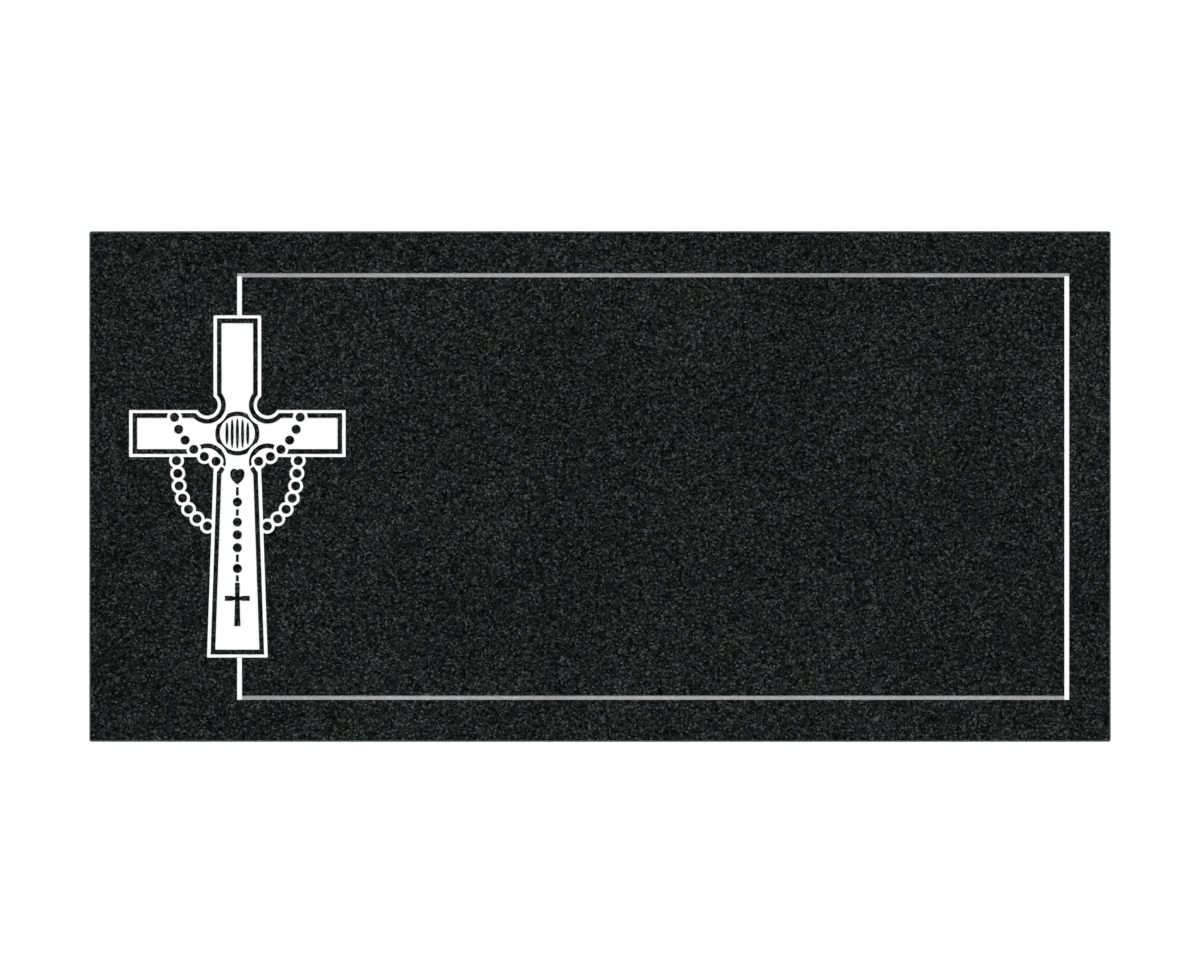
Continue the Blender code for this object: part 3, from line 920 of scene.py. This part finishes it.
# %% Let the grain drift in tint and tone
_, tint = noise(grain, place, TINT_SCALE, detail=1.0)
swing = vector(grain, "SCALE", TINT_DRIFT, given["Drift"])
drift = vector(grain, "MULTIPLY_ADD", vector(grain, "SUBTRACT", tint, HALF), swing, WHOLE)
broad, _ = noise(grain, place, TONE_SCALE, detail=2.0)
tone = spread(grain, broad, 1 - TONE_DRIFT, 1 + TONE_DRIFT, start=0.3, end=0.7)
drifted = vector(grain, "SCALE", vector(grain, "MULTIPLY", shade, drift), tone)
feed(grain, grain.nodes.new("NodeGroupOutput"), color=drifted, crystal=paleness)
print("grain group has", len(grain.nodes), "nodes")

# %% [markdown]
# ## The tooth left by the sand
#
# Sand leaves a fine sugary surface. Its big pits are in the mesh. The smaller tooth is less
# than half a millimetre across, so it is a bump from noise, and a second, broader noise says
# where the paint has worn thin. The paint and the grey level line both use it.

# %% Build the tooth group
TOOTH_SIZE = 0.35 * MM
WEAR_SCALE = 90.0

tooth, given = new_group("blasted tooth", [("Grain Size", "NodeSocketFloat", TOOTH_SIZE)],
                         [("Height", "NodeSocketFloat"), ("Worn", "NodeSocketFloat")])
place = add_node(tooth, "ShaderNodeTexCoord").outputs["Object"]
per_metre = number(tooth, "DIVIDE", 1.0, given["Grain Size"])
fine, _ = noise(tooth, place, per_metre, detail=3.0, roughness=0.65)
broad, _ = noise(tooth, place, WEAR_SCALE, detail=4.0)
worn = spread(tooth, broad, 0.0, 1.0, start=0.45, end=0.75)
feed(tooth, tooth.nodes.new("NodeGroupOutput"), height=fine, worn=worn)
print("tooth group has", len(tooth.nodes), "nodes")

# %% [markdown]
# ## The polished face
#
# Polish lets light into the dark stone, so the face is nearly black with a mirror's gloss over
# it. The gloss is the Principled shader's own, with granite's index of refraction. The roughness
# varies a little, as polish does over harder and softer crystals, and the eased arris is duller
# and paler because it was only rubbed by hand.

# %% Polished granite
POLISHED_DARK = (0.0006, 0.0019, 0.0016, 1)
POLISHED_PALE = (0.0615, 0.0728, 0.0710, 1)
POLISHED_ROUGHNESS = (0.035, 0.065)
GRANITE_IOR = 1.54
EASED_PALE = (0.17, 0.18, 0.175, 1)
EASED_SHARE = 0.08
EASED_ROUGHNESS = 0.30

polished, tree, shader = new_material("polished granite")
crystals = place_group(tree, grain, {"Dark": POLISHED_DARK, "Pale": POLISHED_PALE})
arris_mask = add_node(tree, "ShaderNodeAttribute", attribute_name="eased").outputs["Fac"]
rubbed = number(tree, "MULTIPLY", arris_mask, EASED_SHARE)
gloss = spread(tree, crystals["Crystal"], *POLISHED_ROUGHNESS)
feed(tree, shader, base_color=blend(tree, rubbed, crystals["Color"], EASED_PALE),
     roughness=number(tree, "MULTIPLY_ADD", arris_mask, EASED_ROUGHNESS, gloss))
shader.inputs["IOR"].default_value = GRANITE_IOR

# %% [markdown]
# ## The white paint
#
# The paint is a matt stone paint brushed into the blasted places, where the tooth holds it. It
# covers well, and only varies by a few per cent where it has worn thin. Its bump is the same
# tooth as the stone's, softened by the paint.

# %% White paint
PAINT_THICK = (0.90, 0.90, 0.89, 1)
PAINT_THIN = (0.83, 0.84, 0.83, 1)
PAINT_ROUGHNESS = (0.55, 0.75)
PAINT_BUMP = {"Strength": 0.35, "Distance": 0.04 * MM}

paint, tree, shader = new_material("white stone paint")
under = place_group(tree, tooth)
bump = add_node(tree, "ShaderNodeBump", {"Height": under["Height"], **PAINT_BUMP}).outputs[0]
feed(tree, shader, base_color=blend(tree, under["Worn"], PAINT_THICK, PAINT_THIN),
     roughness=spread(tree, under["Height"], *PAINT_ROUGHNESS), normal=bump)

# %% [markdown]
# ## The shaded frosted line
#
# The level border lines are frosted granite, whose broken crystals scatter light, a grey with
# the grain just showing. Their mid grey is painted shade: it stands for the shade these grooves
# take while the upright lines catch the light from the sides.

# %% Frosted granite, darkened as painted shade
# The grey of these colours is painted shade on the level border lines.
SHADED_FROST_DARK = (0.34, 0.34, 0.34, 1)
SHADED_FROST_PALE = (0.48, 0.48, 0.48, 1)
FROSTED_DRIFT = 0.1
FROSTED_ROUGHNESS = (0.6, 0.85)
FROSTED_BUMP = {"Strength": 0.6, "Distance": 0.06 * MM}

shaded_frost, tree, shader = new_material("frosted granite with painted shade")
shaded_frost_grain = place_group(tree, grain, {"Dark": SHADED_FROST_DARK, "Pale": SHADED_FROST_PALE,
                                   "Drift": FROSTED_DRIFT})
under = place_group(tree, tooth)
bump = add_node(tree, "ShaderNodeBump", {"Height": under["Height"], **FROSTED_BUMP}).outputs[0]
feed(tree, shader, base_color=shaded_frost_grain["Color"],
     roughness=spread(tree, under["Height"], *FROSTED_ROUGHNESS), normal=bump)

# %% [markdown]
# ## The sawn sides
#
# Sawn granite is between the two: dull and dark grey, with the crystals clear. Fine lines from
# the blade's grit run level between the ridges of the mesh. They come from noise that is
# squeezed flat, so that it changes with height and hardly at all along the side.

# %% Sawn granite
SAWN_DARK = (0.022, 0.025, 0.026, 1)
SAWN_PALE = (0.21, 0.225, 0.22, 1)
SAWN_DRIFT = 0.4
SAWN_ROUGHNESS = (0.5, 0.75)
SAWN_BUMP = {"Strength": 0.5, "Distance": 0.08 * MM}
LINES_PER_METRE = (5, 5, 330)
LINE_CONTRAST = 0.38

sawn, tree, shader = new_material("sawn granite")
cut_grain = place_group(tree, grain, {"Dark": SAWN_DARK, "Pale": SAWN_PALE,
                                      "Drift": SAWN_DRIFT})
place = add_node(tree, "ShaderNodeTexCoord").outputs["Object"]
squeezed = add_node(tree, "ShaderNodeMapping", {"Vector": place, "Scale": LINES_PER_METRE})
scratches, _ = noise(tree, squeezed.outputs[0], 1.0, detail=3.0, roughness=0.6)
pale_lines = spread(tree, scratches, 1 - LINE_CONTRAST, 1 + LINE_CONTRAST, start=0.3, end=0.7)
bump = add_node(tree, "ShaderNodeBump", {"Height": scratches, **SAWN_BUMP}).outputs[0]
feed(tree, shader, base_color=vector(tree, "SCALE", cut_grain["Color"], pale_lines),
     roughness=spread(tree, scratches, *SAWN_ROUGHNESS), normal=bump)

# %% Give the stone its finishes
for material in (polished, paint, shaded_frost, sawn):
    mesh.materials.append(material)
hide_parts("granite_marker")
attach(stone, "root")
print([material.name for material in mesh.materials])

# %% [markdown]
# ## The floor, the light and the camera
#
# The stone lies on a pale floor and is looked at from straight above through a long lens.
# Polished stone is a mirror, so what matters is what stands over it. Large soft lights stand
# round it, well off the line of sight, and the ceiling is dim, so the face stays dark while the
# paint is lit fully. The panels themselves are left out of reflections, as a photographer's
# polarising filter would do, so that the grain shows from every side. The floor glows a little,
# like a light table, and swallows the shadows. It lies a hair below the stone, and its back is
# clear, so a camera underneath sees the stone's underside.

# %% Floor
FLOOR_REACH = 30.0
FLOOR_DROP = 0.1 * MM
FLOOR_GLOW = 0.54

corners = [(x * FLOOR_REACH, y * FLOOR_REACH, -FLOOR_DROP)
           for x, y in ((-1, -1), (1, -1), (1, 1), (-1, 1))]
floor_mesh = bpy.data.meshes.new("floor")
floor_mesh.from_pydata(corners, [], [(0, 1, 2, 3)])
floor = bpy.data.objects.new("floor", floor_mesh)
bpy.context.scene.collection.objects.link(floor)
pale, tree, shader = new_material("pale floor")
shader.inputs["Base Color"].default_value = (0.88, 0.88, 0.88, 1)
shader.inputs["Roughness"].default_value = 0.9
shader.inputs["Emission Color"].default_value = (1, 1, 1, 1)
shader.inputs["Emission Strength"].default_value = FLOOR_GLOW
back = add_node(tree, "ShaderNodeNewGeometry").outputs["Backfacing"]
clear = add_node(tree, "ShaderNodeBsdfTransparent").outputs[0]
one_sided = add_node(tree, "ShaderNodeMixShader", {0: back, 1: shader.outputs[0], 2: clear})
feed(tree, tree.nodes["Material Output"], surface=one_sided.outputs[0])
floor_mesh.materials.append(pale)

# %% Soft lights
LIGHT_REACH = 6.0
LIGHT_FROM_ZENITH = 37.0
PANEL_LENGTH = 5.0
PANEL_WIDTH = 2.4
LIGHTS = {"light_right": (0.0, 146.0), "light_head": (90.0, 165.0), "light_left": (180.0, 146.0),
          "light_foot": (270.0, 118.0)}

for name, (azimuth, power) in LIGHTS.items():
    data = bpy.data.lights.new(name, "AREA")
    data.shape = "RECTANGLE"
    data.size = PANEL_LENGTH
    data.size_y = PANEL_WIDTH
    data.energy = power
    light = bpy.data.objects.new(name, data)
    turn, lean = math.radians(azimuth), math.radians(LIGHT_FROM_ZENITH)
    towards = Vector((math.cos(turn) * math.sin(lean), math.sin(turn) * math.sin(lean),
                      math.cos(lean)))
    light.location = towards * LIGHT_REACH
    light.rotation_euler = towards.to_track_quat("Z", "Y").to_euler()
    light.visible_camera = False
    light.visible_glossy = False
    bpy.context.scene.collection.objects.link(light)
print(len(LIGHTS), "soft lights")

# %% The room
ROOM = ((0.0, 0.85), (0.53, 0.85), (0.60, 0.14), (0.75, 0.04), (1.0, 0.012))

world = bpy.data.worlds.new("room")
world.use_nodes = True
bpy.context.scene.world = world
tree = world.node_tree
looking = add_node(tree, "ShaderNodeTexCoord").outputs["Generated"]
parts = add_node(tree, "ShaderNodeSeparateXYZ", {0: looking})
height = spread(tree, parts.outputs["Z"], 0.0, 1.0, start=-1.0, end=1.0)
feed(tree, tree.nodes["Background"], color=curve(tree, height, ROOM))

# %% Camera
FRAME_WIDTH = 715.7 * MM
LENS = 200.0
SENSOR = 36.0

camera_data = bpy.data.cameras.new("camera")
camera_data.lens = LENS
camera_data.sensor_width = SENSOR
camera_data.clip_start = 0.1
camera = bpy.data.objects.new("camera", camera_data)
camera.location = (0.0, 0.0, FACE + FRAME_WIDTH * LENS / SENSOR)
bpy.context.scene.collection.objects.link(camera)
bpy.context.scene.camera = camera
bpy.context.scene.view_settings.view_transform = "Standard"
print("camera", round(camera.location.z, 3), "m above the floor")
